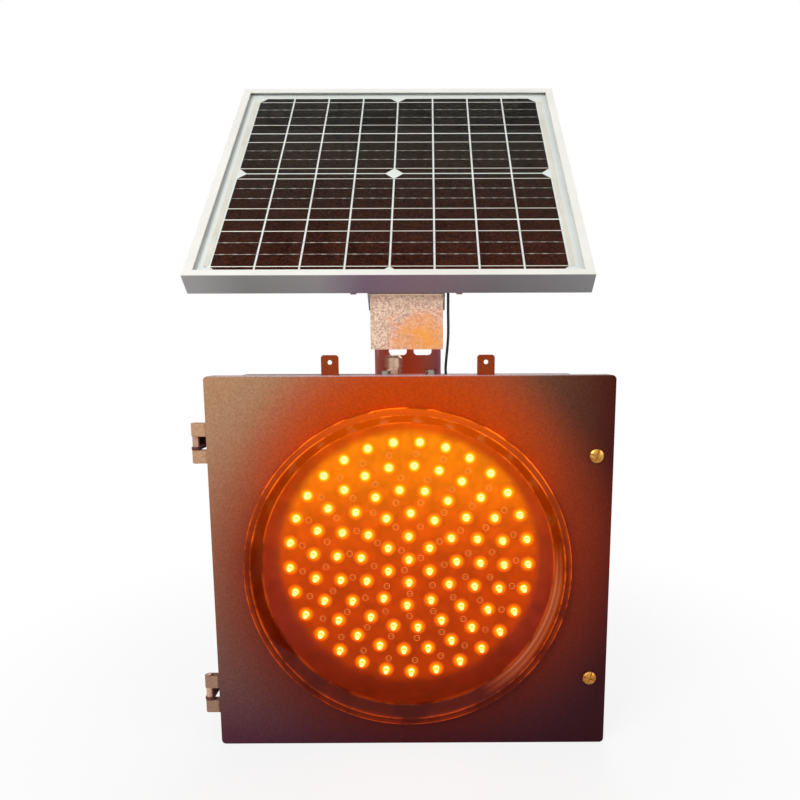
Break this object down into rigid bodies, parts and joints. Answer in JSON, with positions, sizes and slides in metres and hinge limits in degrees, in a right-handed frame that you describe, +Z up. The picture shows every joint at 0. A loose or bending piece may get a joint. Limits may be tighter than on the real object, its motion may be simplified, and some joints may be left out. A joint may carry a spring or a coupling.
{
  "type": "solar flashing warning light",
  "caption": "Amber flashing road warning light: round lamp face in a hinged square steel housing, with a tilting solar panel on a neck above it.",
  "frame": {"origin": "middle of the four pole bolt holes, on the rear faces of the two pole brackets, in line with the lens axis", "axes": "+Y backwards along the lens axis, out of the pole brackets; +Z up; +X to the right as seen from the front"},
  "size_m": [0.4184, 0.2902, 0.7397],
  "materials": {
    "housing_paint": "satin",
    "door_paint": "satin",
    "neck_paint": "satin",
    "galvanised": "spangled zinc",
    "zinc_steel": "bright zinc",
    "plain_steel": "plain",
    "plated_vent": "nickel plated",
    "brass": "passivated",
    "black_rubber": "matte",
    "battery_case": "matte",
    "controller_case": "matte",
    "wire_red": "satin",
    "wire_black": "satin",
    "clear_lens": "polished",
    "board_laminate": "satin",
    "lamp_resin": "clear amber",
    "connector": "matte",
    "frame_aluminium": "anodised",
    "cover_glass": "polished",
    "cells": "dark silicon",
    "white_sheet": "matte",
    "junction_case": "matte"
  },
  "bodies": {
    "housing": {"body_shell": "housing_paint", "hinge_lugs": "housing_paint", "hinge_pins": "plain_steel", "hinge_bushes": "plain_steel", "lock_blocks": "plain_steel", "neck": "neck_paint", "neck_bolts": "zinc_steel", "neck_nuts": "zinc_steel", "vent_plug": "plated_vent", "vent_locknut": "plated_vent", "lead_grommet": "black_rubber", "battery": "battery_case", "battery_terminals": "brass", "battery_pad": "black_rubber", "battery_strap": "zinc_steel", "charge_controller": "controller_case", "flasher_module": "controller_case", "stud_nuts": "zinc_steel", "pole_bracket_upper": "galvanised", "pole_bracket_lower": "galvanised", "bracket_bolts": "zinc_steel", "bracket_nuts": "zinc_steel", "battery_leads": "wire_red", "pivot_bolt": "zinc_steel", "pivot_nut": "zinc_steel", "pivot_washers": "zinc_steel"},
    "front_door": {"door": "door_paint", "lens": "clear_lens", "lens_gasket": "black_rubber", "lens_clips": "zinc_steel", "clip_nuts": "zinc_steel", "led_board": "board_laminate", "leds": "lamp_resin", "board_connector": "connector", "board_standoffs": "brass", "board_screws": "zinc_steel", "door_gasket": "black_rubber", "door_loom": "wire_black"},
    "upper_lock": {"lock_screw_upper": "brass", "lock_retainer_upper": "zinc_steel"},
    "lower_lock": {"lock_screw_lower": "brass", "lock_retainer_lower": "zinc_steel"},
    "solar_head": {"tilt_bracket": "galvanised", "panel_arm_left": "galvanised", "panel_arm_right": "galvanised", "arm_bolts": "zinc_steel", "arm_nuts": "zinc_steel", "frame_bolts": "zinc_steel", "frame_nuts": "zinc_steel", "frame_rail_top": "frame_aluminium", "frame_rail_bottom": "frame_aluminium", "frame_rail_left": "frame_aluminium", "frame_rail_right": "frame_aluminium", "solar_glass": "cover_glass", "solar_cells": "cells", "backsheet": "white_sheet", "junction_box": "junction_case", "junction_lid": "junction_case", "panel_lead": "wire_black", "lead_clips": "wire_black"}
  },
  "joints": [
    {"name": "door_hinge", "type": "hinge", "parent": "housing", "child": "front_door", "pos_m": [-0.20925, -0.13295, 0], "axis": [0, 0, -1], "range_deg": [0, 110], "deforming": ["door_loom"]},
    {"name": "upper_lock_turn", "type": "hinge", "parent": "front_door", "child": "upper_lock", "pos_m": [0.18735, -0.137, 0.117], "axis": [0, -1, 0], "continuous": true},
    {"name": "lower_lock_turn", "type": "hinge", "parent": "front_door", "child": "lower_lock", "pos_m": [0.18735, -0.137, -0.117], "axis": [0, -1, 0], "continuous": true},
    {"name": "panel_tilt", "type": "hinge", "parent": "housing", "child": "solar_head", "pos_m": [0, -0.062, 0.2917], "axis": [1, 0, 0], "range_deg": [-30, 10], "deforming": ["panel_lead"]}
  ]
}
